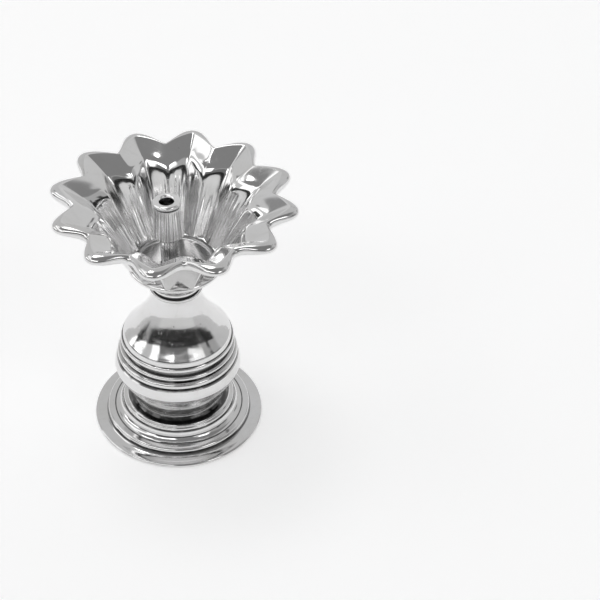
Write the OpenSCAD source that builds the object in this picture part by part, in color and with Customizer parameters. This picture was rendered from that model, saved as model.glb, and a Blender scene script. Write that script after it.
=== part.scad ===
// Lotus oil lamp on a turned pedestal. Millimetres, +Z up.
// The origin is the centre of the foot, on the plane that the foot rests on.

/* [Foot] */
// Outer diameter of the stepped foot
foot_d = 48; // [47.2:0.2:49.2]
// Radius of the lower step
step1_r = 20.3; // [20:0.1:20.6]
// Radius of the upper step
step2_r = 15.7; // [15.5:0.1:16]
// Height of the round top edge of the foot
foot_h = 7.5; // [7.3:0.1:8]
// Height of the collar that the barrel stands on
collar_z = 9.5; // [9.3:0.1:9.7]
// Wall thickness of the spun shells
shell_t = 0.9; // [0.7:0.05:1]

/* [Stem] */
// Largest radius of the round barrel
barrel_r = 17.6; // [17.2:0.1:18]
// Height of the joint between barrel and dome
seam_z = 27.4; // [27:0.1:27.8]
// How far the three beads stand out
bead_h = 0.9; // [0.5:0.05:1.1]
// Radius of the neck at its narrowest
neck_r = 6.9; // [6.7:0.05:7.3]
// Height of the top of the neck
neck_z = 46.8; // [46.2:0.1:47]

/* [Lotus bowl] */
// Number of petals
petals = 12; // [12:1:12]
// Azimuth of the first petal tip
petal_az = 109.3; // [0:0.1:360]
// Radius at the petal tips
tip_r = 32.4; // [31.5:0.1:33.5]
// Radius at the valleys between two petals
valley_r = 26.9; // [26.3:0.1:27.4]
// Height of the highest point of a petal
tip_z = 76.2; // [75.6:0.1:77]
// Height of the valleys between petals
valley_z = 75.2; // [74.6:0.1:75.6]
// Sheet thickness of the bowl
bowl_t = 0.8; // [0.7:0.05:0.9]
// Height of the saucer's rim, on which the petals stand
rim_z = 55.3; // [55.1:0.1:55.5]
// Height of the bowl's floor
floor_z = 54.4; // [54.2:0.1:54.5]
// Radius of the rounded saucer under the bowl
saucer_r = 12.9; // [12.8:0.1:13.2]

/* [Wick post] */
// Outer radius of the ring at the top of the post
lip_r = 3.75; // [3.5:0.05:4]
// Radius of the wick hole
wick_r = 1.9; // [1.5:0.05:2]
// Radius of the tube at its lower end
post_r = 4.2; // [4.1:0.05:4.5]
// Height of the tube's lower end above the floor
post_low = 9.5; // [8:0.1:10]
// Radius of the stem that carries the tube
spigot_r = 2.5; // [2.4:0.05:2.6]
// Height of the top of the ring above the floor
post_h = 20.5; // [19.5:0.1:21]
// How far the post stands off the bowl's axis
post_off = 1.2; // [0:0.05:1.4]
// Lean of the post in degrees
post_lean = 2; // [0:0.25:3]

/* [Fasteners] */
// Diameter of the stud that the bowl screws in with
stud_d = 5.9; // [5.5:0.1:5.9]
// Diameter of the bore that takes the stud
stud_bore_d = 6; // [6:0.05:6.05]
// Diameter of the tie rod through the stem
rod_d = 4; // [4:0.1:4.2]
// Width across the flats of the nut
nut_af = 7; // [7:0.1:8]

/* [Hidden] */
$fn = 96;
silver = [0.86, 0.86, 0.87];
steel = [0.62, 0.63, 0.65];

// ---- curves -------------------------------------------------------------
// points of an arc, or of an ellipse when b is given
function arc(cx, cy, a, a0, a1, n, b = -1) =
    [for (i = [0 : n]) let (t = a0 + (a1 - a0) * i / n)
        [cx + a * cos(t), cy + (b < 0 ? a : b) * sin(t)]];
// smooth curve through hand-set stations, n steps between two of them
function cr(p0, p1, p2, p3, t) =
    0.5 * ((2 * p1) + (p2 - p0) * t + (2 * p0 - 5 * p1 + 4 * p2 - p3) * t * t
           + (3 * p1 - p0 - 3 * p2 + p3) * t * t * t);
function curve(P, n) = let (m = len(P) - 1) concat(
    [for (i = [0 : m - 1], k = [0 : n - 1])
        cr(P[max(i - 1, 0)], P[i], P[i + 1], P[min(i + 2, m)], k / n)], [P[m]]);
// the same curve moved sideways by d, to the left of its direction
function beside(P, d) = let (m = len(P) - 1) [for (i = [0 : m])
    let (v = P[min(i + 1, m)] - P[max(i - 1, 0)], l = norm(v))
        P[i] + d * [-v[1], v[0]] / l];
function flip(P) = [for (i = [len(P) - 1 : -1 : 0]) P[i]];
module turn(P) { rotate_extrude() polygon(P); }

// ---- foot ---------------------------------------------------------------
foot_r = foot_d / 2;
foot_out = concat(
    arc(foot_r - 0.75, 0.75, 0.75, -90, 72, 8),
    arc(foot_r - 1.5, 2.3, 2.2, 268, 204, 8, 0.85),
    arc(step1_r - 0.85, 2.85, 0.85, -4, 90, 8),
    arc(step1_r - 1.85, 6.73, 2.7, 268, 190, 10, 3.03),
    arc(step2_r - 0.55, foot_h - 0.65, 0.55, -20, 90, 8, 0.65));
foot_in = [[13.9, foot_h - shell_t], [14.3, 5.9], [14.7, 4.9], [16.1, 3.5],
    [17.4, 2.8], [18.7, 2.45], [19, 1.5], [19.5, 0.85], [21.4, 0.7], [22.2, 0]];
// cone up to the barrel, then the inside of the collar
foot_collar = [[step2_r - 1.1, foot_h + 0.08], [13.25, collar_z - 0.2], [13, collar_z],
    [10.6, collar_z], [10.6, foot_h]];
module foot() { color(silver) difference() {
    turn(concat(foot_out, foot_collar, [[0, foot_h], [0, foot_h - shell_t]], foot_in));
    translate([0, 0, foot_h - 3]) cylinder(h = 6, r = rod_d / 2 + 0.15);
} }

// ---- barrel -------------------------------------------------------------
barrel_side = [[12.5, collar_z], [13.15, 10.5], [13.93, 12],
    [14.7, 13.6], [15.5, 15.3], [16.35, 17], [barrel_r - 0.6, 18.3], [barrel_r - 0.2, 19.2],
    [barrel_r, 20.2], [barrel_r - 0.25, 21.3]];
barrel_wall = curve(concat(barrel_side, [[barrel_r - 0.6, 22.5]]), 3);
module barrel() { color(silver) turn(concat(
    barrel_wall,
    [[16.2, 22.9]], arc(15.85, 24, bead_h, -62, 58, 8, 0.95),
    [[15.45, 25]], arc(15.3, 26.3, bead_h - 0.15, -62, 55, 8, 0.65),
    [[14.95, 26.95], [14.95, seam_z], [14.4, seam_z], [14.5, 25], [15.1, 23.2]],
    flip(beside(curve(barrel_side, 2), shell_t)), [[11.6, collar_z]])); }

// ---- dome ---------------------------------------------------------------
dome_wall = curve([[15.05, 29.9], [14.95, 30.55], [14.7, 31.2], [14.2, 31.8],
    [13.1, 33], [12.25, 34], [11.5, 35], [10.78, 36], [9.75, 37.5], [8.8, 39],
    [8, 40.5], [7.43, 42], [neck_r + 0.13, 43.4], [neck_r, 44.8],
    [neck_r + 0.15, 45.9]], 3);
dome_core = [for (p = beside(dome_wall, shell_t)) if (p[1] < 42) p];
module dome() { color(silver) turn(concat(
    [[14.95, seam_z], [14.95, 28.1]], arc(15, 28.95, bead_h - 0.22, -60, 60, 8, 0.8),
    dome_wall, [[neck_r + 0.4, neck_z - 0.25], [neck_r + 0.4, neck_z - 0.1],
    [neck_r + 0.3, neck_z], [6, neck_z], [6, 42.7]],
    flip(dome_core),
    [[14.3, 29], [13.5, 28.2], [13.5, seam_z - 1.5], [14.3, seam_z - 1.5], [14.3, seam_z]])); }

// ---- inside the stem ----------------------------------------------------
module stem_bush() { color(steel) difference() {
    union() {
        translate([0, 0, 42.7]) cylinder(h = 3.9, r = 6);
        translate([0, 0, 35.6]) cylinder(h = 7.1, r = 5.2);
    }
    translate([0, 0, 40]) cylinder(h = 8, r = stud_bore_d / 2);
    translate([0, 0, 30]) cylinder(h = 12, r = rod_d / 2);
} }
module tie_rod() { color(steel) translate([0, 0, 1.6]) cylinder(h = 38.2, r = rod_d / 2); }
module foot_washer() { color(steel) translate([0, 0, foot_h - shell_t - 1]) difference() {
    cylinder(h = 1, r = 7);
    translate([0, 0, -1]) cylinder(h = 3, r = rod_d / 2 + 0.15);
} }
module spring_washer() { color(steel) translate([0, 0, foot_h - shell_t - 1.9]) difference() {
    cylinder(h = 0.9, r = 3.6);
    translate([0, 0, -1]) cylinder(h = 3, r = rod_d / 2 + 0.15);
    rotate([0, 0, 40]) translate([0, -0.3, -1]) cube([6, 0.6, 3]);
} }
module foot_nut() { color(steel) translate([0, 0, foot_h - shell_t - 4.9]) difference() {
    intersection() {
        cylinder(h = 3, r = nut_af / 2 / cos(30), $fn = 6);
        turn([[0, 0], [nut_af / 2 - 0.1, 0], [nut_af / 2 / cos(30), 0.35],
              [nut_af / 2 / cos(30), 2.65], [nut_af / 2 - 0.1, 3], [0, 3]]);
    }
    translate([0, 0, -1]) cylinder(h = 5, r = rod_d / 2);
} }

// ---- bowl: washer, stud and saucer --------------------------------------
module neck_washer() { color([0.1, 0.1, 0.1]) translate([0, 0, neck_z + 0.05]) difference() {
    cylinder(h = 0.4, r = 6.6);
    translate([0, 0, -1]) cylinder(h = 3, r = stud_d / 2 + 0.3);
} }
saucer_z = neck_z + 0.5;
module bowl_stud() { color(steel) translate([0, 0, saucer_z - 6.9])
    cylinder(h = 12.4, r = stud_d / 2); }
saucer_side = concat([[6.5, saucer_z], [6.75, saucer_z + 0.25], [6.7, saucer_z + 0.8]],
    curve([[6.3, saucer_z + 1.1], [6.9, 49.1], [8.2, 50.1], [9.7, 51.4], [11, 52.6],
        [12.1, 53.6], [saucer_r - 0.2, 54.3], [saucer_r, 54.75], [saucer_r - 0.08, 55.05],
        [saucer_r - 0.3, rim_z]], 3));
module bowl_saucer() { color(silver) difference() {
    turn(concat([[0, saucer_z]], saucer_side, [[11, rim_z], [10.9, rim_z - 0.1],
        [10.75, floor_z + 0.4], [10.4, floor_z + 0.12], [9.9, floor_z], [0, floor_z]]));
    translate([0, 0, 40]) cylinder(h = saucer_z + 5.5 - 40, r = stud_d / 2);
} }

// ---- petal bowl ---------------------------------------------------------
// Each petal is two facets that meet in a groove on its centreline; two petals
// meet in a ridge. Both lines run up a fluted wall that flares over into the lip
// and out along the petal, from the saucer's rim to the petal's edge, in [r, z].
half = 180 / petals;
groove = [[12.1, rim_z + 0.05], [12.75, 56.1], [14.05, 58.2], [15.41, 60.6], [16.77, 63],
    [18.17, 65.4], [18.91, 66.6], [19.73, 67.8], [20.6, 69], [21.55, 70.2],
    [22.56, 71.35], [23.81, 72.5], [25.77, 73.75], [30.2, tip_z]];
ridge = [[10.6, rim_z + 0.05], [10.95, 56.1], [11.9, 58.3], [13.15, 60.75], [14.4, 63.15],
    [15.66, 65.55], [16.3, 66.75], [16.93, 67.95], [17.58, 69.15], [18.3, 70.35],
    [19.15, 71.5], [20.41, 72.65], [22.57, 73.9], [25.1, valley_z]];
function mix(a, b, t) = a + (b - a) * t;
// the point between groove point g and ridge point e at angle f from the groove
function across(g, e, f) = let (s = e[0] * sin(half - f) + g[0] * sin(f))
    [g[0] * e[0] * sin(half) / s, mix(g[1], e[1], g[0] * sin(f) / s)];
function outline(u) = mix(valley_r, tip_r, pow(cos(90 * pow(u, 1.12)), 2));
g_low = beside(groove, -bowl_t);
e_low = beside(ridge, -bowl_t);
n_top = len(groove);
// closed outline of the sheet at angle f from a groove
function section(f) = let (u = f / half, bulge = 0.5 * sin(180 * u),
        top = [for (k = [0 : n_top - 1]) across(groove[k], ridge[k], f)],
        low = [for (k = [0 : n_top - 1]) across(g_low[k], e_low[k], f)],
        i = top[n_top - 1] + [bulge, 0.55 * bulge], ro = outline(u), zo = i[1] - 1.6,
        w = ro - i[0], base = rim_z + 0.05)
    concat([for (k = [0 : n_top - 2]) top[k]], [i],
        [for (b = [15 : 15 : 90]) [i[0] + w * sin(b), zo + 1.6 * cos(b)]],
        [[ro - 0.25, zo - 0.4], [ro - 0.8, zo - 0.35],
         [i[0] + w * 0.25, zo + 0.45]],
        [for (k = [n_top - 2 : -1 : 1]) low[k]], [[low[0][0], base]]);
steps = 4;
stations = [for (p = [0 : petals - 1], k = [0 : 2 * steps - 1])
    [p * 2 * half + k * half / steps, k <= steps ? k * half / steps : (2 * steps - k) * half / steps]];
m_sec = len(section(0));
n_st = len(stations);
bowl_pts = [for (s = stations) let (q = section(s[1])) for (p = q)
    [p[0] * cos(s[0]), p[0] * sin(s[0]), p[1]]];
bowl_faces = [for (i = [0 : n_st - 1], j = [0 : m_sec - 1])
    let (a = i * m_sec + j, b = i * m_sec + (j + 1) % m_sec,
         c = ((i + 1) % n_st) * m_sec + (j + 1) % m_sec, d = ((i + 1) % n_st) * m_sec + j)
    each [[a, b, c], [a, c, d]]];
module petal_bowl() { color(silver) rotate([0, 0, petal_az])
    polyhedron(points = bowl_pts, faces = bowl_faces, convexity = 8); }

// ---- wick post ----------------------------------------------------------
// a narrow stem stands on the floor and carries a wider tube with a ring on top
module at_post() { translate([-post_off, 0, floor_z]) rotate([0, -post_lean, 0]) children(); }
socket_h = post_low + 4.2;
module wick_spigot() { color(silver) intersection() {
    at_post() difference() {
        translate([0, 0, -1]) cylinder(h = socket_h + 0.7, r = spigot_r);
        translate([0, 0, post_low - 2]) cylinder(h = 20, r = wick_r - 0.4);
    }
    translate([-20, -20, floor_z]) cube([40, 40, 60]);
} }
module wick_post() { color(silver) at_post() difference() {
    union() {
        turn([[0, post_low], [post_r - 0.3, post_low], [post_r, post_low + 0.3],
            [3.4, post_h - 2.3], [3.25, post_h - 1.6], [0, post_h - 1.6]]);
        turn(concat([[0, post_h - 2.5]], [[3.1, post_h - 2.5]], arc(lip_r - 1.2, post_h - 1.2, 1.2, -80, 90, 12),
            arc(lip_r - 1.2, post_h - 0.75, 0.75, 90, 180, 6), [[0, post_h - 0.75]]));
    }
    translate([0, 0, post_low - 3]) cylinder(h = 7.2, r = spigot_r + 0.05);
    translate([0, 0, socket_h]) cylinder(h = 30, r = wick_r);
} }

foot();
barrel();
dome();
stem_bush();
tie_rod();
foot_washer();
spring_washer();
foot_nut();
neck_washer();
bowl_saucer();
petal_bowl();
bowl_stud();
wick_spigot();
wick_post();
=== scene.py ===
import math

import bpy
import numpy as np
from mathutils import Matrix, Vector


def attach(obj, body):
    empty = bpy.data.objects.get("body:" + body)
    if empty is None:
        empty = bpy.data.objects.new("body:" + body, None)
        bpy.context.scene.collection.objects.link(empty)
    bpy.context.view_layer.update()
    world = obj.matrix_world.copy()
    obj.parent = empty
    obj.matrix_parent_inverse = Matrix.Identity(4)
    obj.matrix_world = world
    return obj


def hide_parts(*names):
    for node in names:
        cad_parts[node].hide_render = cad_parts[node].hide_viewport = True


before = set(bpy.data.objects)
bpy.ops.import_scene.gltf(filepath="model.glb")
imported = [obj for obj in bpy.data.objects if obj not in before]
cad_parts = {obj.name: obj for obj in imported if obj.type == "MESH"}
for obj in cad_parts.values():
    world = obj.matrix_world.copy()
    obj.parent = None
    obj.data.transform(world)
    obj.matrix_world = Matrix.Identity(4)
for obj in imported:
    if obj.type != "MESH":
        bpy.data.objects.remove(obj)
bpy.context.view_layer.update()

MM = 0.001
scene = bpy.context.scene
scene.view_settings.view_transform = "Standard"

# =========================================================================
# camera
# =========================================================================
cam_data = bpy.data.cameras.new("camera")
cam_data.sensor_width = 36.0
cam_data.lens = 86.05
cam_data.clip_start = 0.01
cam_data.clip_end = 50
cam = bpy.data.objects.new("camera", cam_data)
scene.collection.objects.link(cam)
scene.camera = cam
place = np.array([0.0, -0.29871, 0.29414])
ahead = -place / np.linalg.norm(place)
right = np.array([1.0, 0.0, 0.0])
up = np.cross(right, ahead)


def turned(pitch, yaw, roll):
    """Rotation that turns the camera off the line to the origin."""
    cx, sx = math.cos(pitch), math.sin(pitch)
    cy, sy = math.cos(yaw), math.sin(yaw)
    cz, sz = math.cos(roll), math.sin(roll)
    rx = np.array([[1, 0, 0], [0, cx, -sx], [0, sx, cx]])
    ry = np.array([[cy, 0, sy], [0, 1, 0], [-sy, 0, cy]])
    rz = np.array([[cz, -sz, 0], [sz, cz, 0], [0, 0, 1]])
    return rz @ rx @ ry


axes = turned(-0.07267716, -0.08610331, -0.03218702) @ np.stack([right, -up, ahead])
m = Matrix.Identity(4)
for i in range(3):
    m[i][0] = axes[0][i]
    m[i][1] = -axes[1][i]
    m[i][2] = -axes[2][i]
    m[i][3] = place[i]
cam.matrix_world = m


# =========================================================================
# mesh helpers, all in millimetres
# =========================================================================
def arc(cx, cy, a, a0, a1, n, b=None):
    t = np.radians(np.linspace(a0, a1, n + 1))
    return np.stack([cx + a * np.cos(t), cy + (a if b is None else b) * np.sin(t)], 1)


def curve(points, n):
    """Smooth curve through given stations, n steps between two of them."""
    p = np.array(points, float)
    out = []
    for i in range(len(p) - 1):
        p0, p1, p2, p3 = p[max(i - 1, 0)], p[i], p[i + 1], p[min(i + 2, len(p) - 1)]
        for k in range(n):
            t = k / n
            out.append(0.5 * (2 * p1 + (p2 - p0) * t + (2 * p0 - 5 * p1 + 4 * p2 - p3) * t * t
                              + (3 * p1 - p0 - 3 * p2 + p3) * t ** 3))
    out.append(p[-1])
    return np.array(out)


def beside(p, d):
    """The line moved sideways by d, to the left of its direction."""
    p = np.asarray(p, float)
    v = np.empty_like(p)
    v[1:-1] = p[2:] - p[:-2]
    v[0] = p[1] - p[0]
    v[-1] = p[-1] - p[-2]
    v /= np.linalg.norm(v, axis=1)[:, None]
    return p + d * np.stack([-v[:, 1], v[:, 0]], 1)


def eased(p, d, steps=4, turn=14):
    """Rounds each corner sharper than turn degrees, d from the corner."""
    p = [np.array(q, float) for q in p]
    out = [p[0]]
    for a, b, c in zip(p[:-2], p[1:-1], p[2:]):
        u, v = a - b, c - b
        lu, lv = np.linalg.norm(u), np.linalg.norm(v)
        if lu < 1e-9 or lv < 1e-9:
            continue
        bend = math.degrees(math.acos(max(-1, min(1, float(-(u @ v) / lu / lv)))))
        if bend < turn:
            out.append(b)
            continue
        cut = min(d, 0.45 * lu, 0.45 * lv)
        s, e = b + u / lu * cut, b + v / lv * cut
        for k in range(steps + 1):
            t = k / steps
            out.append((1 - t) ** 2 * s + 2 * t * (1 - t) * b + t * t * e)
    out.append(p[-1])
    return np.array(out)


def mesh_of(name, verts, faces, body, node, mat, sharp=38):
    me = bpy.data.meshes.new(name)
    me.from_pydata((np.asarray(verts, float) * MM).tolist(), [], faces)
    me.validate()
    me.update()
    me.shade_smooth()
    me.set_sharp_from_angle(angle=math.radians(sharp))
    ob = bpy.data.objects.new(name, me)
    scene.collection.objects.link(ob)
    me.materials.append(mat)
    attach(ob, body)
    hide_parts(node)
    return ob


def grid_faces(rings, around, closed_profile):
    """Faces of a grid of rings x around, wrapped around the axis."""
    out = []
    last = rings if closed_profile else rings - 1
    for i in range(last):
        a, b = i * around, ((i + 1) % rings) * around
        for j in range(around):
            k = (j + 1) % around
            out.append((a + j, a + k, b + k, b + j))
    return out


def lathe(profile, around, ripple=None):
    """Turned solid. The profile runs counter-clockwise in (r, z): a closed loop, or from axis to axis."""
    p = [q for i, q in enumerate(np.asarray(profile, float))]
    keep = [p[0]]
    for q in p[1:]:
        if np.linalg.norm(q - keep[-1]) > 1e-5:
            keep.append(q)
    loop = keep[0][0] > 1e-6
    if loop and np.linalg.norm(keep[0] - keep[-1]) < 1e-5:
        keep.pop()
    t = np.linspace(0, 2 * math.pi, around, endpoint=False)
    verts, poles = [], []
    body = keep if loop else keep[1:-1]
    for r, z in body:
        rr = np.full(around, r)
        zz = np.full(around, z)
        if ripple is not None:
            dr, dz = ripple(t, r, z)
            rr, zz = rr + dr, zz + dz
        verts.append(np.stack([rr * np.cos(t), rr * np.sin(t), zz], 1))
    n = len(body)
    verts = np.concatenate(verts)
    faces = grid_faces(n, around, loop)
    if not loop:
        first, last = len(verts), len(verts) + 1
        verts = np.concatenate([verts, [[0, 0, keep[0][1]], [0, 0, keep[-1][1]]]])
        for j in range(around):
            k = (j + 1) % around
            faces.append((first, k, j))
            faces.append((last, (n - 1) * around + j, (n - 1) * around + k))
    return verts, faces


def shallow(seed, amount, waves=((2, .05), (3, .11), (5, .21), (7, .16), (11, .35), (13, .3))):
    """Gentle unevenness of spun sheet, the same through its thickness."""
    rng = np.random.default_rng(seed)
    terms = [(n, k * rng.uniform(.6, 1.5) * rng.choice([-1, 1]), rng.uniform(0, 6.28),
              rng.uniform(.5, 1) / (1 + n / 5)) for n, k in waves]

    def f(t, r, z):
        dr = sum(a * np.sin(n * t + k * z * 2 + ph) for n, k, ph, a in terms)
        return amount * min(1, r / 12) * dr, 0 * dr
    return f


# =========================================================================
# materials
# =========================================================================
class Nodes:
    def __init__(self, name):
        self.mat = bpy.data.materials.new(name)
        self.mat.use_nodes = True
        self.t = self.mat.node_tree
        self.t.nodes.clear()
        self.out = self.t.nodes.new("ShaderNodeOutputMaterial")
        self.p = self.t.nodes.new("ShaderNodeBsdfPrincipled")
        self.link(self.p.outputs[0], self.out.inputs["Surface"])
        self.xyz = self.t.nodes.new("ShaderNodeTexCoord").outputs["Object"]

    def link(self, a, b):
        self.t.links.new(a, b)

    def put(self, socket, value):
        if isinstance(value, (int, float)):
            socket.default_value = value
        elif isinstance(value, tuple):
            socket.default_value = value if len(value) == len(socket.default_value) else (*value, 1)
        else:
            self.link(value, socket)

    def math(self, op, a, b=0.0, clamp=False):
        n = self.t.nodes.new("ShaderNodeMath")
        n.operation = op
        n.use_clamp = clamp
        self.put(n.inputs[0], a)
        self.put(n.inputs[1], b)
        return n.outputs[0]

    def split(self, v):
        n = self.t.nodes.new("ShaderNodeSeparateXYZ")
        self.link(v, n.inputs[0])
        return n.outputs

    def join(self, x, y, z):
        n = self.t.nodes.new("ShaderNodeCombineXYZ")
        for s, v in zip(n.inputs, (x, y, z)):
            self.put(s, v)
        return n.outputs[0]

    def scaled(self, v, s):
        n = self.t.nodes.new("ShaderNodeVectorMath")
        n.operation = "MULTIPLY"
        self.link(v, n.inputs[0])
        n.inputs[1].default_value = s
        return n.outputs[0]

    def noise(self, v, scale, detail=3.0, rough=0.55, warp=0.0):
        n = self.t.nodes.new("ShaderNodeTexNoise")
        self.link(v, n.inputs["Vector"])
        n.inputs["Scale"].default_value = scale
        n.inputs["Detail"].default_value = detail
        n.inputs["Roughness"].default_value = rough
        n.inputs["Distortion"].default_value = warp
        return n.outputs["Fac"]

    def cells(self, v, scale, feature="F1"):
        n = self.t.nodes.new("ShaderNodeTexVoronoi")
        n.feature = feature
        self.link(v, n.inputs["Vector"])
        n.inputs["Scale"].default_value = scale
        return n.outputs["Distance"]

    def ramp(self, fac, stops):
        n = self.t.nodes.new("ShaderNodeValToRGB")
        self.link(fac, n.inputs[0])
        e = n.color_ramp.elements
        while len(e) < len(stops):
            e.new(0.5)
        for el, (pos, col) in zip(e, stops):
            el.position = pos
            el.color = (col, col, col, 1) if isinstance(col, (int, float)) else (*col, 1)
        return n.outputs[0]

    def span(self, fac, a, b, c, d):
        n = self.t.nodes.new("ShaderNodeMapRange")
        n.clamp = True
        self.link(fac, n.inputs[0])
        for s, v in zip(n.inputs[1:5], (a, b, c, d)):
            s.default_value = v
        return n.outputs[0]

    def mix(self, fac, a, b):
        n = self.t.nodes.new("ShaderNodeMix")
        n.data_type = "RGBA"
        self.put(n.inputs[0], fac)
        self.put(n.inputs[6], a)
        self.put(n.inputs[7], b)
        return n.outputs[2]

    def bump(self, height, strength, distance, under=None):
        n = self.t.nodes.new("ShaderNodeBump")
        n.inputs["Strength"].default_value = strength
        n.inputs["Distance"].default_value = distance
        self.link(height, n.inputs["Height"])
        if under is not None:
            self.link(under, n.inputs["Normal"])
        return n.outputs[0]


def plated(name, tone, shade, rough, spin, streak=None, dull=0.10, seed=0.0, axis_x=0.0, wavy=0.25, painted_shade_bands=(), painted_streak_reflection=0.0):
    """Bright plated metal: cloudy tone, polishing lines, scratches, smears and dull spots.

    streak is (strength, depth, lines per radian, z low, z high), for draw marks that run down a wall.
    The last argument sets how much darker the draw marks are painted than the metal between them, a painted reflection
    of the streaked walls around them.
    The bands list (r low, r high, z low, z high) in mm where shade is painted into the colour: painted shade in turned
    grooves and creases, and on some parts a painted dark reflection."""
    n = Nodes(name)
    moved = n.t.nodes.new("ShaderNodeVectorMath")
    moved.operation = "ADD"
    n.link(n.xyz, moved.inputs[0])
    moved.inputs[1].default_value = (seed, seed * 1.7, seed * 0.6)
    at = moved.outputs[0]
    x, y, z = n.split(n.xyz)
    x = n.math("SUBTRACT", x, axis_x)
    radius = n.math("SQRT", n.math("ADD", n.math("MULTIPLY", x, x), n.math("MULTIPLY", y, y)))
    turn = n.math("ARCTAN2", y, x)
    cloud = n.noise(at, 85, 3, 0.55, 0.4)
    smear = n.span(n.noise(n.scaled(at, (1, 1, 0.45)), 190, 4, 0.6, 1.2), 0.52, 0.72, 0, 1)
    lines = n.noise(n.join(radius, 0.0, z), 5200, 2, 0.7)
    broad = n.noise(n.join(radius, 0.0, z), 900, 3, 0.6)
    scratch = n.span(n.noise(n.scaled(at, (1.0, 0.09, 0.35)), 2600, 2, 0.5, 0.3), 0.66, 0.74, 0, 1)
    spots = n.span(n.cells(at, 520), 0.05, 0.16, 1, 0)
    spots = n.math("MULTIPLY", spots, n.span(n.noise(at, 240, 2), 0.56, 0.62, 0, 1))
    col = n.mix(n.span(cloud, 0.3, 0.7, 0, 1), tone, shade)
    col = n.mix(n.math("MULTIPLY", smear, 0.35), col, tuple(0.93 * c for c in shade))
    col = n.mix(n.math("MULTIPLY", spots, 0.45), col, tuple(0.55 * c for c in shade))
    # painted reflection: the draw marks are darkened in the colour, standing in for streaked walls mirrored in the
    # metal
    if streak and painted_streak_reflection:
        streak_reflection_zone = n.math("MULTIPLY", n.span(z, streak[3], streak[3] + 0.0012, 0, 1), n.span(z, streak[4] - 0.001, streak[4], 1, 0))
        streak_reflection_fac = n.span(n.noise(n.join(turn, seed, n.math("MULTIPLY", z, 2.5)), streak[2] * 1.8, 1.5, 0.5), 0.47, 0.57, 0, painted_streak_reflection)
        col = n.mix(n.math("MULTIPLY", streak_reflection_fac, streak_reflection_zone), col, tuple(0.4 * c for c in shade))
    shade_mask = None
    for box in painted_shade_bands:
        band = None
        for across_it, (low, high) in ((radius, box[:2]), (z, box[2:])):
            low, high = low * MM, high * MM
            edge = min(0.0002, (high - low) / 3)
            part = n.math("MULTIPLY", n.span(across_it, low, low + edge, 0, 1), n.span(across_it, high - edge, high, 1, 0))
            band = part if band is None else n.math("MULTIPLY", band, part)
        shade_mask = band if shade_mask is None else n.math("MAXIMUM", shade_mask, band)
    # painted shade: inside the bands the colour is mixed towards near black
    if shade_mask is not None:
        shade_mask = n.math("MULTIPLY", shade_mask, n.span(n.noise(at, 420, 3, 0.6), 0.25, 0.5, 0.72, 0.94))
        col = n.mix(shade_mask, col, tuple(0.06 * c for c in shade))
    n.link(col, n.p.inputs["Base Color"])
    n.p.inputs["Metallic"].default_value = 1.0
    r = n.math("ADD", n.span(cloud, 0.25, 0.75, rough * 0.8, rough * 1.25), n.math("MULTIPLY", smear, dull * 0.6))
    r = n.math("ADD", r, n.math("MULTIPLY", scratch, dull))
    r = n.math("ADD", r, n.math("MULTIPLY", spots, dull * 2))
    r = n.math("ADD", r, n.math("MULTIPLY", lines, rough * 0.35), True)
    if streak:
        drawn_on = n.math("MULTIPLY", n.span(z, streak[3], streak[3] + 0.0012, 0, 1), n.span(z, streak[4] - 0.003, streak[4], 1, 0))
        r = n.math("ADD", r, n.math("MULTIPLY", drawn_on, 0.07), True)
    n.link(r, n.p.inputs["Roughness"])
    normal = n.bump(n.noise(at, 130, 2, 0.5), wavy, 0.00012)
    if spin:
        normal = n.bump(broad, 0.5 * spin, 0.00003, normal)
        normal = n.bump(lines, 0.35 * spin, 0.000008, normal)
    if streak:
        strength, depth, per_radian, low, high = streak
        height = n.noise(n.join(turn, seed, n.math("MULTIPLY", z, 2.5)), per_radian, 1.5, 0.5)
        inside = n.math("MULTIPLY", n.span(z, low, low + 0.0012, 0, 1), n.span(z, high - 0.003, high, 1, 0))
        height = n.math("MULTIPLY", n.math("SUBTRACT", height, 0.5), inside)
        normal = n.bump(height, strength, depth, normal)
    normal = n.bump(spots, 0.25, 0.00004, normal)
    n.link(normal, n.p.inputs["Normal"])
    return n.mat


def zinc(name, tone, rough, seed=0.0):
    n = Nodes(name)
    grain = n.noise(n.xyz, 2400, 3, 0.7)
    cloud = n.noise(n.xyz, 320, 3, 0.6, 0.6)
    warm = n.span(n.noise(n.scaled(n.xyz, (1, 1, 1.6)), 210, 3, 0.6), 0.5, 0.72, 0, 1)
    col = n.mix(n.span(cloud, 0.3, 0.7, 0, 1), tone, tuple(0.82 * c for c in tone))
    col = n.mix(n.math("MULTIPLY", warm, 0.4), col, (tone[0] * 0.86, tone[1] * 0.78, tone[2] * 0.62))
    n.link(col, n.p.inputs["Base Color"])
    n.p.inputs["Metallic"].default_value = 1.0
    n.link(n.math("ADD", n.span(cloud, 0.3, 0.7, rough * 0.8, rough * 1.3), n.math("MULTIPLY", grain, 0.12)), n.p.inputs["Roughness"])
    normal = n.bump(grain, 0.35, 0.00002)
    n.link(n.bump(cloud, 0.2, 0.00006, normal), n.p.inputs["Normal"])
    return n.mat


def rubbery(name):
    n = Nodes(name)
    grain = n.noise(n.xyz, 3200, 4, 0.7)
    bloom = n.span(n.noise(n.xyz, 260, 3, 0.6, 0.5), 0.45, 0.75, 0, 1)
    n.link(n.mix(n.math("MULTIPLY", bloom, 0.5), (0.018, 0.018, 0.019), (0.06, 0.058, 0.055)), n.p.inputs["Base Color"])
    n.link(n.math("ADD", n.span(bloom, 0, 1, 0.55, 0.75), n.math("MULTIPLY", grain, 0.12)), n.p.inputs["Roughness"])
    n.link(n.bump(grain, 0.4, 0.00003), n.p.inputs["Normal"])
    return n.mat


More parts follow.
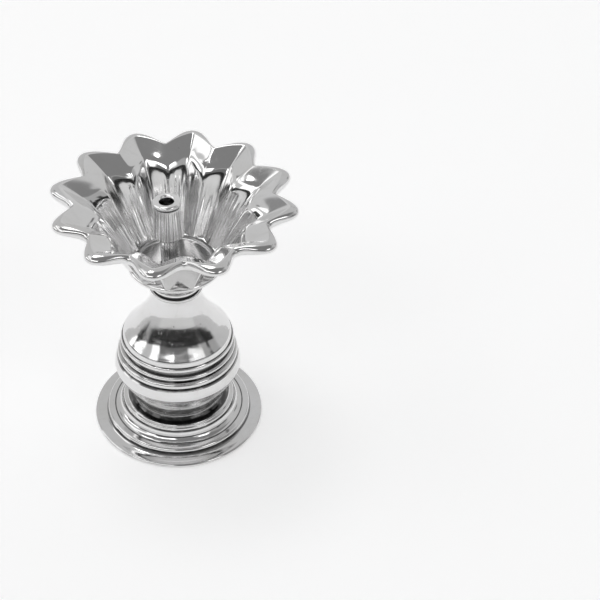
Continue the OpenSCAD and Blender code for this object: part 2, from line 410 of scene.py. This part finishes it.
TONE, SHADE = (0.77, 0.77, 0.775), (0.715, 0.71, 0.705)
# painted shade: dark bands in the foot's and barrel's grooves and creases; the band on the foot's cone under the barrel
# (r 12.3 to 14.5) is a painted dark reflection
shell_metal = plated("plated_shell", TONE, SHADE, 0.07, 0.5, seed=0.013,
                     painted_shade_bands=((12.3, 14.5, 7.75, 9.62), (20.1, 20.9, 1.8, 2.75), (17.9, 18.4, 3.6, 3.85), (15.4, 16.0, 5.9, 6.75),
                           (15.5, 16.9, 22.55, 23.4), (15.2, 16.5, 24.8, 25.7), (14.8, 15.9, 26.8, 28.4)))
# painted shade: dark bands in the creases below and above the dome's foot bead
dome_metal = plated("plated_shell_dome", TONE, SHADE, 0.075, 0.45, dull=0.13, seed=0.051,
                    painted_shade_bands=((14.8, 15.5, 27.3, 28.5), (14.9, 15.5, 29.6, 30.0)))
# painted light: the inside of the bowl gets a lighter tone than the other plated parts, standing in for light bounced
# between its walls
bowl_metal = plated("plated_bowl", (0.86, 0.86, 0.865), (0.81, 0.805, 0.80), 0.06, 0.0, seed=0.087, wavy=0.12,
                    streak=(1.0, 0.0001, 16, 0.0553, 0.0704))
outer_metal = plated("plated_bowl_outside", TONE, SHADE, 0.085, 0.0, seed=0.143, wavy=0.2)
saucer_metal = plated("plated_bowl_saucer", TONE, SHADE, 0.12, 0.4, seed=0.121)
# painted shade: the bowl's floor gets a much darker tone than the other plated parts
dish_painted_shade = plated("plated_bowl_floor", (0.44, 0.44, 0.445), (0.39, 0.386, 0.382), 0.15, 0.4, seed=0.133)
# painted light and shade: the post's tone is lighter than the other plated parts to brighten the tube; dark bands are
# painted under the lip ring and where the post meets the bowl's floor
post_metal = plated("plated_post", (0.92, 0.92, 0.925), (0.88, 0.875, 0.87), 0.06, 0.1, seed=0.177, axis_x=-0.00165,
                    streak=(1.0, 0.00008, 6, 0.0545, 0.0735), painted_streak_reflection=0.6,
                    painted_shade_bands=((3.0, 4.1, 73.2, 73.85), (1.0, 3.3, 54.2, 54.8)))
rod_metal = zinc("zinc_steel", (0.62, 0.62, 0.63), 0.3)
nut_metal = zinc("zinc_steel_nut", (0.66, 0.65, 0.62), 0.26)
bush_metal = zinc("zinc_steel_bush", (0.58, 0.58, 0.58), 0.34)
seal_rubber = rubbery("black_rubber")

# =========================================================================
# foot, barrel and dome
# =========================================================================
FOOT_R, STEP1, STEP2, FOOT_H, SHELL = 24.0, 20.3, 15.7, 7.5, 0.9
foot_out = np.concatenate([
    arc(FOOT_R - 0.75, 0.75, 0.75, -90, 72, 20),
    arc(FOOT_R - 1.5, 2.3, 2.2, 268, 204, 16, 0.85),
    arc(STEP1 - 0.85, 2.85, 0.85, -4, 90, 18), [[19.1, 3.7], [18.7, 3.7]],
    arc(STEP1 - 1.85, 6.73, 2.7, 268, 190, 24, 3.03),
    arc(STEP2 - 0.55, FOOT_H - 0.65, 0.55, -20, 90, 16, 0.65)])
foot_in = np.array([[2.15, FOOT_H], [2.15, FOOT_H - SHELL], [13.9, FOOT_H - SHELL], [14.3, 5.9], [14.7, 4.9],
                    [16.1, 3.5], [17.4, 2.8], [18.7, 2.45], [19, 1.5], [19.5, 0.85], [21.4, 0.7], [22.2, 0]])
COLLAR = 9.5
foot_top = np.concatenate([
    [[14.9, FOOT_H], [14.72, FOOT_H + 0.01]],
    curve([[14.6, FOOT_H + 0.08], [14.15, 8.2], [13.7, 8.79], [13.25, COLLAR - 0.2]], 4),
    [[13.15, COLLAR - 0.06], [13, COLLAR], [12.6, COLLAR], [10.6, COLLAR], [10.6, FOOT_H], [5, FOOT_H]]])
foot = np.concatenate([foot_out, foot_top, eased(foot_in, 0.3)])
v, f = lathe(foot, 256, shallow(11, 0.012))
mesh_of("foot_shell", v, f, "pedestal", "foot", shell_metal)

BARREL = [[12.5, COLLAR], [13.15, 10.5], [13.93, 12], [14.7, 13.6], [15.5, 15.3],
          [16.35, 17], [17, 18.3], [17.4, 19.2], [17.6, 20.2], [17.35, 21.3]]
wall = curve(BARREL + [[17.0, 22.5]], 7)
inner = beside(curve(BARREL, 4), SHELL)
barrel = np.concatenate([
    wall, [[16.2, 22.9]], arc(15.85, 24, 0.9, -62, 58, 18, 0.95),
    [[15.45, 25]], arc(15.3, 26.3, 0.75, -62, 55, 18, 0.65),
    [[14.95, 26.95], [14.95, 27.38], [14.4, 27.38], [14.5, 25], [15.1, 23.2]], inner[::-1],
    [[11.6, COLLAR], [12.1, COLLAR]]])
v, f = lathe(barrel, 256, shallow(23, 0.016))
mesh_of("barrel_shell", v, f, "pedestal", "barrel", shell_metal)

dome_wall = curve([[15.05, 29.9], [14.95, 30.55], [14.7, 31.2], [14.2, 31.8], [13.1, 33], [12.25, 34],
                   [11.5, 35], [10.78, 36], [9.75, 37.5], [8.8, 39], [8, 40.5], [7.43, 42], [7.03, 43.4],
                   [6.9, 44.8], [7.05, 45.9]], 6)
core = beside(dome_wall, SHELL)
core = core[core[:, 1] < 42]
dome = np.concatenate([
    [[14.95, 27.4], [14.95, 28.1]], arc(15.0, 28.95, 0.68, -60, 60, 18, 0.8),
    dome_wall, eased([[7.05, 45.9], [7.3, 46.55], [7.3, 46.8], [6, 46.8], [6, 42.7], core[-1]], 0.12)[1:-1],
    core[::-1], [[14.3, 29], [13.5, 28.2], [13.5, 25.9], [14.3, 25.9], [14.3, 27.4]]])
v, f = lathe(dome, 256, shallow(37, 0.02))
mesh_of("dome_shell", v, f, "pedestal", "dome", dome_metal)


# =========================================================================
# fasteners inside the stem
# =========================================================================
def thread(r, depth, pitch, z0, z1, around=40, per=6, taper=0.8, phase=0.0):
    """Threaded rod from z0 to z1 with chamfered ends."""
    n = int(round((z1 - z0) / pitch * per))
    z = np.linspace(z0, z1, n + 1)
    t = np.linspace(0, 2 * math.pi, around, endpoint=False)
    saw = np.abs(((z[:, None] / pitch - t[None] / (2 * math.pi) + phase) % 1) * 2 - 1)
    saw = np.clip((saw - 0.12) / 0.76, 0, 1)
    rr = r - depth * (1 - saw)
    end = np.minimum(z - z0, z1 - z)[:, None]
    rr = np.minimum(rr, r - depth - 0.15 + end / taper * (depth + 0.15))
    verts = np.stack([rr * np.cos(t)[None], rr * np.sin(t)[None], np.repeat(z[:, None], around, 1)], 2).reshape(-1, 3)
    faces = grid_faces(n + 1, around, False)
    verts = np.concatenate([verts, [[0, 0, z0], [0, 0, z1]]])
    a, b = len(verts) - 2, len(verts) - 1
    for j in range(around):
        k = (j + 1) % around
        faces.append((a, k, j))
        faces.append((b, n * around + j, n * around + k))
    return verts, faces


v, f = thread(2.0, 0.36, 0.7, 1.6, 39.8)
mesh_of("tie_rod_threaded", v, f, "pedestal", "tie_rod", rod_metal, 28)
v, f = thread(2.95, 0.5, 1.0, 40.4, 52.8, 48, 8)
mesh_of("bowl_stud_threaded", v, f, "bowl", "bowl_stud", rod_metal, 28)

# bush with an internal thread: a loop per angle, the bore's groove winds with the angle
around = 48
bore_z = np.linspace(46.6, 40.2, 53)
t = np.linspace(0, 2 * math.pi, around, endpoint=False)
outer = eased([[2.0, 40.0], [2.0, 35.6], [5.2, 35.6], [5.2, 42.7], [6, 42.7], [6, 46.6], [3.3, 46.6]], 0.2)
loops = []
for a in t:
    saw = np.abs(((bore_z - a / (2 * math.pi)) % 1) * 2 - 1)
    rr = 3.0 + 0.34 * np.clip((0.88 - saw) / 0.76, 0, 1)
    rr = np.maximum(rr, 3.35 - np.abs(bore_z - 46.6) * 0.8)
    loop = np.concatenate([outer, np.stack([rr, bore_z], 1)[1:], [[3.0, 40.0]]])
    loops.append(np.stack([loop[:, 0] * math.cos(a), loop[:, 0] * math.sin(a), loop[:, 1]], 1))
n = len(loops[0])
v = np.stack(loops, 1).reshape(-1, 3)
mesh_of("stem_bush_tapped", v, grid_faces(n, around, True), "pedestal", "stem_bush", bush_metal, 30)

washer = eased([[4.5, 5.6], [7, 5.6], [7, 6.6], [2.15, 6.6], [2.15, 5.6], [4.5, 5.6]], 0.14)[:-1]
v, f = lathe(washer, 96, shallow(51, 0.02))
mesh_of("foot_washer_plain", v, f, "pedestal", "foot_washer", nut_metal)

# split spring washer: a bar wound once round the rod, with a gap
section = eased([[2.9, 0], [3.6, 0], [3.6, 0.62], [2.15, 0.62], [2.15, 0], [2.9, 0]], 0.1)[:-1]
steps = 80
loops = []
for i in range(steps + 1):
    q = i / steps
    a = math.radians(40 + 6 + 348 * q)
    s = section + [0, 4.72 + 0.24 * q]
    loops.append(np.stack([s[:, 0] * math.cos(a), s[:, 0] * math.sin(a), s[:, 1]], 1))
n = len(section)
v = np.concatenate(loops)
f = [(i * n + j, i * n + (j + 1) % n, (i + 1) * n + (j + 1) % n, (i + 1) * n + j)[::-1]
     for i in range(steps) for j in range(n)]
f += [tuple(range(n)), tuple(range(steps * n, steps * n + n))[::-1]]
mesh_of("spring_washer_split", v, f, "pedestal", "spring_washer", rod_metal)

# hexagon nut, corners cut by a 30 degree cone, countersunk bore
around = 120
t = np.linspace(0, 2 * math.pi, around, endpoint=False)
flat = 3.5 / np.cos((t + math.pi / 6) % (math.pi / 3) - math.pi / 6)
flat = np.minimum(flat, 3.5 / math.cos(math.pi / 6) - 0.04)
drop = np.maximum(flat - 3.38, 0) * 0.577
z0, z1 = 1.7, 4.7
loops = [
    np.stack([np.full(around, 2.0), np.full(around, z0 + 0.32)], 1),
    np.stack([np.full(around, 2.3), np.full(around, z0)], 1),
    np.stack([np.full(around, 3.38), np.full(around, z0)], 1),
    np.stack([flat, z0 + drop], 1),
    np.stack([flat, np.full(around, (z0 + z1) / 2)], 1),
    np.stack([flat, z1 - drop], 1),
    np.stack([np.full(around, 3.38), np.full(around, z1)], 1),
    np.stack([np.full(around, 2.3), np.full(around, z1)], 1),
    np.stack([np.full(around, 2.0), np.full(around, z1 - 0.32)], 1)]
v = np.concatenate([np.stack([p[:, 0] * np.cos(t), p[:, 0] * np.sin(t), p[:, 1]], 1) for p in loops])
mesh_of("foot_nut_hex", v, grid_faces(9, around, True), "pedestal", "foot_nut", nut_metal, 24)

# rubber washer under the bowl, slightly bulged
seal = np.concatenate([arc(6.42, 47.05, 0.18, -90, 90, 12, 0.2), arc(3.45, 47.05, 0.16, 90, 270, 12, 0.2)])
v, f = lathe(seal, 128, shallow(61, 0.02))
mesh_of("neck_washer_rubber", v, f, "seal", "neck_washer", seal_rubber)

# =========================================================================
# saucer under the petals, its top is the floor of the bowl
# =========================================================================
FLOOR, RIM, SAUCER_Z = 54.4, 55.3, 47.3
side = curve([[6.3, SAUCER_Z + 1.1], [6.9, 49.1], [8.2, 50.1], [9.7, 51.4], [11.0, 52.6], [12.1, 53.6],
              [12.7, 54.3], [12.9, 54.75], [12.82, 55.05], [12.6, RIM]], 8)
dish = curve([[11.0, RIM], [10.93, RIM - 0.14], [10.75, FLOOR + 0.4], [10.4, FLOOR + 0.12], [9.9, FLOOR + 0.01],
              [9.4, FLOOR]], 5)
saucer = np.concatenate([
    [[0, SAUCER_Z + 5.6], [2.9, SAUCER_Z + 5.55], [2.95, SAUCER_Z + 5.5], [2.95, SAUCER_Z]],
    eased([[5, SAUCER_Z], [6.5, SAUCER_Z], [6.75, SAUCER_Z + 0.25], [6.7, SAUCER_Z + 0.8],
           [6.3, SAUCER_Z + 1.1]], 0.15)[1:-1],
    side, dish, [[8, FLOOR], [6, FLOOR], [4, FLOOR], [2, FLOOR], [0, FLOOR]]])
v, f = lathe(saucer, 256, shallow(71, 0.012))
dished = mesh_of("bowl_saucer_turned", v, f, "bowl", "bowl_saucer", saucer_metal)
# the floor inside the bowl is rougher than the rest, and its tone is painted much darker: painted shade for the recess
dished.data.materials.append(dish_painted_shade)
for face in dished.data.polygons:
    c = face.center / MM
    if c.z > FLOOR - 0.1 and math.hypot(c.x, c.y) < 10.98:
        face.material_index = 1

# =========================================================================
# petal bowl
# =========================================================================
HALF, TURN = 15.0, 109.3
GROOVE = np.array([[12.1, 55.35], [12.75, 56.1], [14.05, 58.2], [15.41, 60.6], [16.77, 63], [18.17, 65.4],
                   [18.91, 66.6], [19.73, 67.8], [20.6, 69], [21.55, 70.2], [22.56, 71.35], [23.81, 72.5],
                   [25.77, 73.75], [30.2, 76.2]])
RIDGE = np.array([[10.6, 55.35], [10.95, 56.1], [11.9, 58.3], [13.15, 60.75], [14.4, 63.15], [15.66, 65.55],
                  [16.3, 66.75], [16.93, 67.95], [17.58, 69.15], [18.3, 70.35], [19.15, 71.5], [20.41, 72.65],
                  [22.57, 73.9], [25.1, 75.2]])
# steps between two stations, closer together where the wall flares over into the lip
SPANS = (4, 3, 3, 3, 3, 3, 3, 4, 4, 6, 7, 6, 10)


def bowl_line(line):
    out = []
    for i, n in enumerate(SPANS):
        p0, p1, p2, p3 = line[max(i - 1, 0)], line[i], line[i + 1], line[min(i + 2, len(line) - 1)]
        t = (np.arange(n) / n)[:, None]
        out.append(0.5 * (2 * p1 + (p2 - p0) * t + (2 * p0 - 5 * p1 + 4 * p2 - p3) * t * t
                          + (3 * p1 - p0 - 3 * p2 + p3) * t ** 3))
    return np.concatenate(out + [line[-1:]])


g_top, e_top = bowl_line(GROOVE), bowl_line(RIDGE)
g_low, e_low = beside(g_top, -0.8), beside(e_top, -0.8)


def across(g, e, phi, soft):
    """(r, z) at angle phi from the groove on the chord between groove and ridge, both corners rounded."""
    half = math.radians(HALF)
    phi = math.radians(phi)
    w = soft / np.maximum((g[:, 0] + e[:, 0]) / 2, 1)
    f = np.sqrt(phi ** 2 + w ** 2) - np.sqrt((half - phi) ** 2 + w ** 2) + half - phi
    f = np.clip(f, 0, half)
    s = e[:, 0] * np.sin(half - f) + g[:, 0] * np.sin(f)
    r = g[:, 0] * e[:, 0] * math.sin(half) / s
    q = g[:, 0] * np.sin(f) / s
    return np.stack([r, g[:, 1] + (e[:, 1] - g[:, 1]) * q], 1)


def rim_radius(u):
    return 32.4 + (26.9 - 32.4) * (1 - math.cos(math.pi / 2 * u ** 1.12) ** 2)


def section(phi):
    u = phi / HALF
    bulge = 0.5 * math.sin(math.pi * u)
    top = across(g_top, e_top, phi, 0.42)
    low = across(g_low, e_low, phi, 0.3)
    edge = top[-1] + [bulge, 0.55 * bulge]
    # the outermost stretch leans to the bulged border
    n = 11
    q = (np.arange(1, n + 1) / n)[:, None] ** 2
    top[-n:] += (edge - top[-1]) * q
    w = rim_radius(u) - edge[0]
    t = np.radians(np.linspace(6, 90, 14))
    roll = np.stack([edge[0] + w * np.sin(t), edge[1] - 1.6 + 1.6 * np.cos(t)], 1)
    z = edge[1] - 1.6
    ro = rim_radius(u)
    under = np.array([[ro - 0.08, z - 0.28], [ro - 0.3, z - 0.42], [ro - 0.8, z - 0.35],
                      [edge[0] + w * 0.45, z + 0.1], [edge[0] + w * 0.2, z + 0.5]])
    back = low[:-1][::-1][1:]
    p = np.concatenate([top, roll, under, back])
    p[-1, 1] = RIM + 0.05
    return p


phis = np.array([0, .25, .5, .85, 1.3, 1.9, 2.6, 3.35, 4.1, 4.85, 5.6, 6.35, 7.1, 7.85, 8.6, 9.35, 10.1, 10.85,
                 11.6, 12.3, 12.95, 13.5, 13.9, 14.25, 14.5, 14.75, 15])
angles, kinds = [], []
for p in range(12):
    for phi in phis:
        angles.append(p * 30 + phi)
        kinds.append(phi)
    for phi in phis[1:-1][::-1]:
        angles.append(p * 30 + 30 - phi)
        kinds.append(phi)
cache = {phi: section(phi) for phi in phis}
# each face of a petal swells a little where it bends over into the wall, like a knuckle
rows_in = len(g_top)
knuckle = {}
for phi in phis:
    line = cache[phi][:rows_in]
    above = line[:, 1] - 72.4
    hump = np.exp(-(above / np.where(above > 0, 1.1, 3.0)) ** 2) * math.sin(math.pi * phi / HALF)
    knuckle[phi] = (beside(line, 1.0) - line) * hump[:, None]
rng = np.random.default_rng(17)
swell = 0.26 * (1 + np.clip(rng.normal(0, 0.2, 24), -0.4, 0.4))
rng = np.random.default_rng(5)
tilt = rng.normal(0, 0.11, 12)
swing = rng.normal(0, 0.10, 12)
# draw marks down the inside of the wall, in mm
marks = [(k, rng.uniform(0, 2 * math.pi), rng.uniform(-1, 1) * 0.9, rng.uniform(0.6, 1.0))
         for k in (53, 61, 67, 73, 79, 89, 97, 103)]
verts = []
for a, phi in zip(angles, kinds):
    s = cache[phi].copy()
    w = cache[phi][:rows_in, 1]
    depth = sum(q * np.sin(math.radians(k * a) + ph + lean * (w - 60) / 10) for k, ph, lean, q in marks) / 3.2
    s[:rows_in, 0] += 0.06 * depth * np.clip((w - 56.2) / 1.5, 0, 1) * np.clip((70.4 - w) / 2.5, 0, 1)
    s[:rows_in] += swell[int(a // HALF) % 24] * knuckle[phi]
    # each petal differs a little in height and reach, most at its tip
    which = (a + 15) % 360 / 30 - 0.5
    i = int(round(which)) % 12
    near = math.cos(math.radians((a - 30 * i + 180) % 360 - 180) * 6) * 0.5 + 0.5
    rise = np.clip((s[:, 1] - 70) / 6, 0, 1) * near
    s[:, 1] += rise * tilt[i] * 0.6 - rise * abs(tilt[i]) * 0.3
    s[:, 0] += rise * swing[i] * 0.5 - rise * 0.05
    th = math.radians(a + TURN)
    verts.append(np.stack([s[:, 0] * math.cos(th), s[:, 0] * math.sin(th), s[:, 1]], 1))
n = len(verts[0])
v = np.stack(verts, 1).reshape(-1, 3)
f = [face[::-1] for face in grid_faces(n, len(angles), True)]
bowl = mesh_of("petal_bowl_cast", v, f, "bowl", "petal_bowl", bowl_metal, 42)
bowl.data.materials.append(outer_metal)
for face in bowl.data.polygons:
    if face.index >= rows_in * len(angles):
        face.material_index = 1

# =========================================================================
# wick spigot and wick post, on the post's own leaning axis
# =========================================================================
LEAN, OFF = math.radians(2.0), 1.2


def on_post(v):
    c, s = math.cos(-LEAN), math.sin(-LEAN)
    return np.stack([c * v[:, 0] + s * v[:, 2] - OFF, v[:, 1], -s * v[:, 0] + c * v[:, 2] + FLOOR], 1)


spigot = np.concatenate([[[0, -0.4]], eased([[1, -0.4], [2.75, -0.4], [2.75, 0.05], [2.5, 0.35], [2.5, 13.1], [2.25, 13.4],
                                             [1.6, 13.4], [1.5, 13.25], [1.5, 7.5], [0.8, 7.4]], 0.12)[1:-1], [[0, 7.2]]])
v, f = lathe(spigot, 128, shallow(79, 0.01))
v = on_post(v)
v[:, 2] = np.maximum(v[:, 2], FLOOR)
mesh_of("wick_spigot_turned", v, f, "bowl", "wick_spigot", post_metal)

LOW, H, LIP, BORE, SOCKET = 9.5, 20.5, 3.75, 1.9, 13.7
post = np.concatenate([
    eased([[2.55, SOCKET], [2.55, LOW + 0.1], [2.65, LOW], [3.7, LOW]], 0.05),
    arc(3.72, LOW + 0.5, 0.48, -90, 0, 10, 0.5),
    curve([[4.2, LOW + 0.55], [4.1, 12], [3.95, 14], [3.74, 16.5], [3.55, 18.1], [3.42, 19.0]], 6),
    arc(LIP - 0.8, H - 0.72, 0.8, -52, 90, 26, 0.72),
    arc(LIP - 1.2, H - 0.72, 0.72, 90, 185, 14),
    [[BORE + 0.02, H - 1.3], [BORE, H - 1.6], [BORE, 16.5], [BORE, SOCKET]]])


def drawn(t, r, z):
    """Fine lines drawn along the tube."""
    lines = np.sin(34 * t + 0.7) + 0.7 * np.sin(47 * t + 2.1) + 0.5 * np.sin(59 * t + 4.0)
    return 0.036 * lines * (r > 3.3) * min(max((18.9 - z) / 1.5, 0), 1), 0 * t


v, f = lathe(post, 384, drawn)
v = on_post(v)
mesh_of("wick_post_turned", v, f, "post", "wick_post", post_metal)

# =========================================================================
# floor, lights and world
# =========================================================================
me = bpy.data.meshes.new("floor")
s = 3.0
me.from_pydata([(-s, -s, 0), (s, -s, 0), (s, s, 0), (-s, s, 0)], [], [(0, 1, 2, 3)])
floor = bpy.data.objects.new("floor", me)
scene.collection.objects.link(floor)
n = Nodes("pale_floor")
n.link(n.mix(n.noise(n.xyz, 6, 2), (0.86, 0.86, 0.865), (0.84, 0.84, 0.84)), n.p.inputs["Base Color"])
n.p.inputs["Roughness"].default_value = 0.9
n.p.inputs["Specular IOR Level"].default_value = 0.1
n.p.inputs["Emission Color"].default_value = (1, 1, 1, 1)
n.p.inputs["Emission Strength"].default_value = 0.41
me.materials.append(n.mat)

world = bpy.data.worlds.new("studio")
scene.world = world
world.use_nodes = True
wt = world.node_tree
wt.nodes.clear()
w_out = wt.nodes.new("ShaderNodeOutputWorld")
w_bg = wt.nodes.new("ShaderNodeBackground")
wt.links.new(w_bg.outputs[0], w_out.inputs[0])
w_dir = wt.nodes.new("ShaderNodeTexCoord").outputs["Generated"]
w_xyz = wt.nodes.new("ShaderNodeSeparateXYZ")
wt.links.new(w_dir, w_xyz.inputs[0])


def toward(az, el):
    """Direction at azimuth az from the front, to the right, and elevation el."""
    a, e = math.radians(az), math.radians(el)
    return (math.sin(a) * math.cos(e), -math.cos(a) * math.cos(e), math.sin(e))


def w_math(op, a, b=0.0):
    q = wt.nodes.new("ShaderNodeMath")
    q.operation = op
    for sck, val in zip(q.inputs, (a, b)):
        if isinstance(val, (int, float)):
            sck.default_value = val
        else:
            wt.links.new(val, sck)
    return q.outputs[0]


def patch(az, el, wide, high, soft, value, below):
    """A soft-edged rectangle of the studio, wide x high degrees, laid over what is below."""
    d = toward(az, el)
    r = toward(az + 90, 0)
    u = np.cross(r, d)
    sides = []
    for axis, half in ((r, wide / 2), (tuple(u), high / 2)):
        dot = wt.nodes.new("ShaderNodeVectorMath")
        dot.operation = "DOT_PRODUCT"
        wt.links.new(w_dir, dot.inputs[0])
        dot.inputs[1].default_value = axis
        mr = wt.nodes.new("ShaderNodeMapRange")
        mr.interpolation_type = "SMOOTHSTEP"
        wt.links.new(w_math("ABSOLUTE", dot.outputs["Value"]), mr.inputs[0])
        mr.inputs[1].default_value = math.sin(math.radians(max(half - soft / 2, 0)))
        mr.inputs[2].default_value = math.sin(math.radians(min(half + soft / 2, 89)))
        mr.inputs[3].default_value = 1
        mr.inputs[4].default_value = 0
        sides.append(mr.outputs[0])
    dot = wt.nodes.new("ShaderNodeVectorMath")
    dot.operation = "DOT_PRODUCT"
    wt.links.new(w_dir, dot.inputs[0])
    dot.inputs[1].default_value = d
    front = w_math("GREATER_THAN", dot.outputs["Value"], 0.0)
    fac = w_math("MULTIPLY", w_math("MULTIPLY", sides[0], sides[1]), front)
    mix = wt.nodes.new("ShaderNodeMix")
    mix.data_type = "FLOAT"
    wt.links.new(fac, mix.inputs[0])
    wt.links.new(below, mix.inputs[2])
    mix.inputs[3].default_value = value
    return mix.outputs[0]


def over(normal, low, high):
    """0 where the direction's share along normal is below low, 1 above high."""
    dot = wt.nodes.new("ShaderNodeVectorMath")
    dot.operation = "DOT_PRODUCT"
    wt.links.new(w_dir, dot.inputs[0])
    dot.inputs[1].default_value = normal
    mr = wt.nodes.new("ShaderNodeMapRange")
    mr.interpolation_type = "SMOOTHSTEP"
    wt.links.new(dot.outputs["Value"], mr.inputs[0])
    for k, val in zip((1, 2, 3, 4), (low, high, 0.0, 1.0)):
        mr.inputs[k].default_value = val
    return mr.outputs[0]


def laid(fac, value, below):
    mix = wt.nodes.new("ShaderNodeMix")
    mix.data_type = "FLOAT"
    wt.links.new(fac, mix.inputs[0])
    wt.links.new(below, mix.inputs[2])
    mix.inputs[3].default_value = value
    return mix.outputs[0]


base = wt.nodes.new("ShaderNodeValToRGB")
wt.links.new(w_xyz.outputs["Z"], base.inputs[0])
stops = [(0.0, 0.65), (0.25, 0.61), (0.72, 0.61), (1.0, 0.58)]
el = base.color_ramp.elements
while len(el) < len(stops):
    el.new(0.5)
for e, (pos, val) in zip(el, stops):
    e.position = pos
    e.color = (val, val, val, 1)
w = base.outputs[0]
w = patch(75, 38, 34, 40, 8, 0.42, w)           # duller right side
w = patch(0, 8, 110, 26, 9, 0.74, w)            # pale floor running on behind the camera
w = patch(0, 72, 84, 60, 4, 0.24, w)            # dim ceiling over the lamp and the camera
w = patch(-88, 46, 54, 11, 3, 1.4, w)           # large soft light on the left
w = patch(-112, 54.5, 12, 8, 3, 1.3, w)
w = patch(-129, 37, 9, 8, 3, 0.28, w)         # dull stands behind the lamp
w = patch(120, 18, 12, 8, 3, 0.2, w)
w = patch(-7.5, 35.5, 75, 11, 3, 0.17, w)       # dim wall above the camera
w = patch(42, 37, 26, 8, 3, 1.15, w)
w = patch(-53.5, 31, 15, 16, 3, 1.5, w)
w = patch(-97, 15, 15, 16, 3, 0.04, w)          # dark stands at the sides
w = patch(73, 25, 6, 9, 3, 0.06, w)
# the dark side of the studio at the camera, a long band that bends down to both sides
band = w_math("MULTIPLY", over((0, 0.184, 1), 0.195, 0.212), w_math("SUBTRACT", 1.0, over((0, 0.2317, 1), 0.306, 0.326)))
band = w_math("MULTIPLY", band, over((0, -1, 0), -0.10, 0.05))
w = laid(band, 0.025, w)
w = patch(-30, 47, 30, 10, 3, 2.6, w)           # soft lights over the camera, left and right
w = patch(48, 45, 15, 10, 3, 2.6, w)
w = patch(-91, 23.5, 25, 9, 3, 1.9, w)          # low light on the left
w = patch(-107, 17, 9, 11, 3, 1.9, w)
wt.links.new(w, w_bg.inputs["Color"])
w_bg.inputs["Strength"].default_value = 1.0


def soft_light(name, az, el, distance, size, power):
    d = bpy.data.lights.new(name, "AREA")
    d.shape = "RECTANGLE"
    d.size, d.size_y = size
    d.energy = power
    o = bpy.data.objects.new(name, d)
    scene.collection.objects.link(o)
    p = Vector(toward(az, el)) * distance + Vector((0, 0, 0.04))
    o.location = p
    o.rotation_euler = (p - Vector((0, 0, 0.04))).to_track_quat("Z", "Y").to_euler()
    return o


soft_light("soft_top", -140, 72, 1.3, (0.5, 0.35), 1.5)
